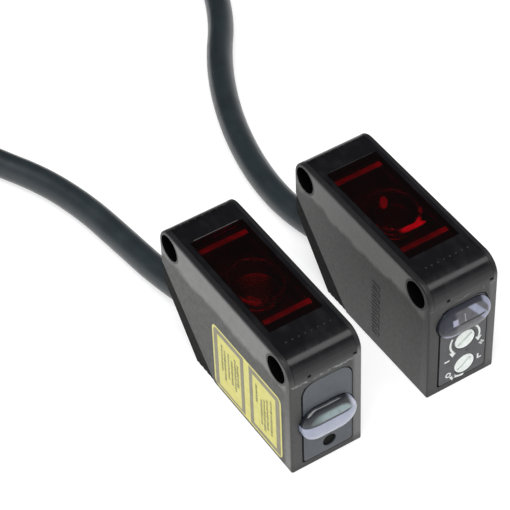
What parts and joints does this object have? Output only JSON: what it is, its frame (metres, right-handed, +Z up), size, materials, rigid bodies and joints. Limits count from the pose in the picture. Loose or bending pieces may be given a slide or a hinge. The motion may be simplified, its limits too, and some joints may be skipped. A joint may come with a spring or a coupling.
{
  "type": "photoelectric sensor",
  "caption": "Through-beam photoelectric sensor: slim emitter and receiver heads with red-filtered windows, indicators, adjusters and round pre-wired cables.",
  "frame": {"origin": "on the surface that both heads lie on, under the middle of the two heads without their cables", "axes": "+X from the cable ends to the indicator ends, +Y from the emitter to the receiver, +Z up out of the lens faces"},
  "size_m": [0.1651, 0.0602, 0.02],
  "materials": {
    "black_rubber": "matte",
    "cable_pvc": "satin PVC sheath",
    "case_plastic": "fine moulded satin",
    "chip_epoxy": "moulded epoxy",
    "circuit_board": "green solder mask",
    "clear_indicator": "clear polished moulding",
    "clear_lens": "polished",
    "cover_plastic": "polished moulding",
    "holder_plastic": "moulded",
    "led_package": "diffused",
    "panel_plastic": "fine satin",
    "printed_label": "printed film",
    "red_filter": "deep red transparent filter, polished",
    "switch_plastic": "moulded",
    "tie_strap": "woven hook-and-loop strap",
    "tin_plate": "tin plated",
    "white_pom": "satin moulded",
    "wire_insulation": "coloured insulation, tinned ends",
    "zinc_metal": "plated"
  },
  "bodies": {
    "emitter": {"emitter_access_plug": "panel_plastic", "emitter_bare_wires": "wire_insulation", "emitter_board_components": "chip_epoxy", "emitter_cable": "cable_pvc", "emitter_cable_clamp": "zinc_metal", "emitter_cable_grommet": "black_rubber", "emitter_cable_hank": "cable_pvc", "emitter_case": "case_plastic", "emitter_core_wires": "wire_insulation", "emitter_cover_seal": "black_rubber", "emitter_display_board": "circuit_board", "emitter_display_panel": "panel_plastic", "emitter_hank_tie": "tie_strap", "emitter_indicator_leds": "led_package", "emitter_indicator_lens": "clear_indicator", "emitter_label": "printed_label", "emitter_laser_diode": "tin_plate", "emitter_lens": "clear_lens", "emitter_lens_cover": "cover_plastic", "emitter_lens_holder": "holder_plastic", "emitter_main_board": "circuit_board", "emitter_rear_cover": "case_plastic", "emitter_rear_seal": "black_rubber", "emitter_window": "red_filter"},
    "receiver": {"receiver_bare_wires": "wire_insulation", "receiver_board_components": "chip_epoxy", "receiver_cable": "cable_pvc", "receiver_cable_clamp": "zinc_metal", "receiver_cable_grommet": "black_rubber", "receiver_cable_hank": "cable_pvc", "receiver_case": "case_plastic", "receiver_core_wires": "wire_insulation", "receiver_cover_seal": "black_rubber", "receiver_display_board": "circuit_board", "receiver_display_panel": "panel_plastic", "receiver_hank_tie": "tie_strap", "receiver_indicator_leds": "led_package", "receiver_indicator_lens": "clear_indicator", "receiver_knob_seals": "black_rubber", "receiver_lens": "clear_lens", "receiver_lens_cover": "cover_plastic", "receiver_lens_holder": "holder_plastic", "receiver_main_board": "circuit_board", "receiver_mode_switch": "switch_plastic", "receiver_photodiode": "chip_epoxy", "receiver_rear_cover": "case_plastic", "receiver_rear_seal": "black_rubber", "receiver_sensitivity_trimmer": "switch_plastic", "receiver_shield": "tin_plate", "receiver_window": "red_filter"},
    "sensitivity_adjuster": {"receiver_sensitivity_knob": "white_pom"},
    "mode_selector": {"receiver_mode_knob": "white_pom"}
  },
  "joints": [
    {"name": "pair_distance", "type": "slide", "parent": "emitter", "child": "receiver", "axis": [0, 1, 0], "range_m": [0, 0.05]},
    {"name": "sensitivity_turn", "type": "hinge", "parent": "receiver", "child": "sensitivity_adjuster", "pos_m": [0.01445, 0.01132, 0.0081], "axis": [1, 0, 0], "range_deg": [-120, 120]},
    {"name": "mode_turn", "type": "hinge", "parent": "receiver", "child": "mode_selector", "pos_m": [0.01445, 0.01142, 0.0033], "axis": [1, 0, 0], "range_deg": [0, 90]}
  ]
}
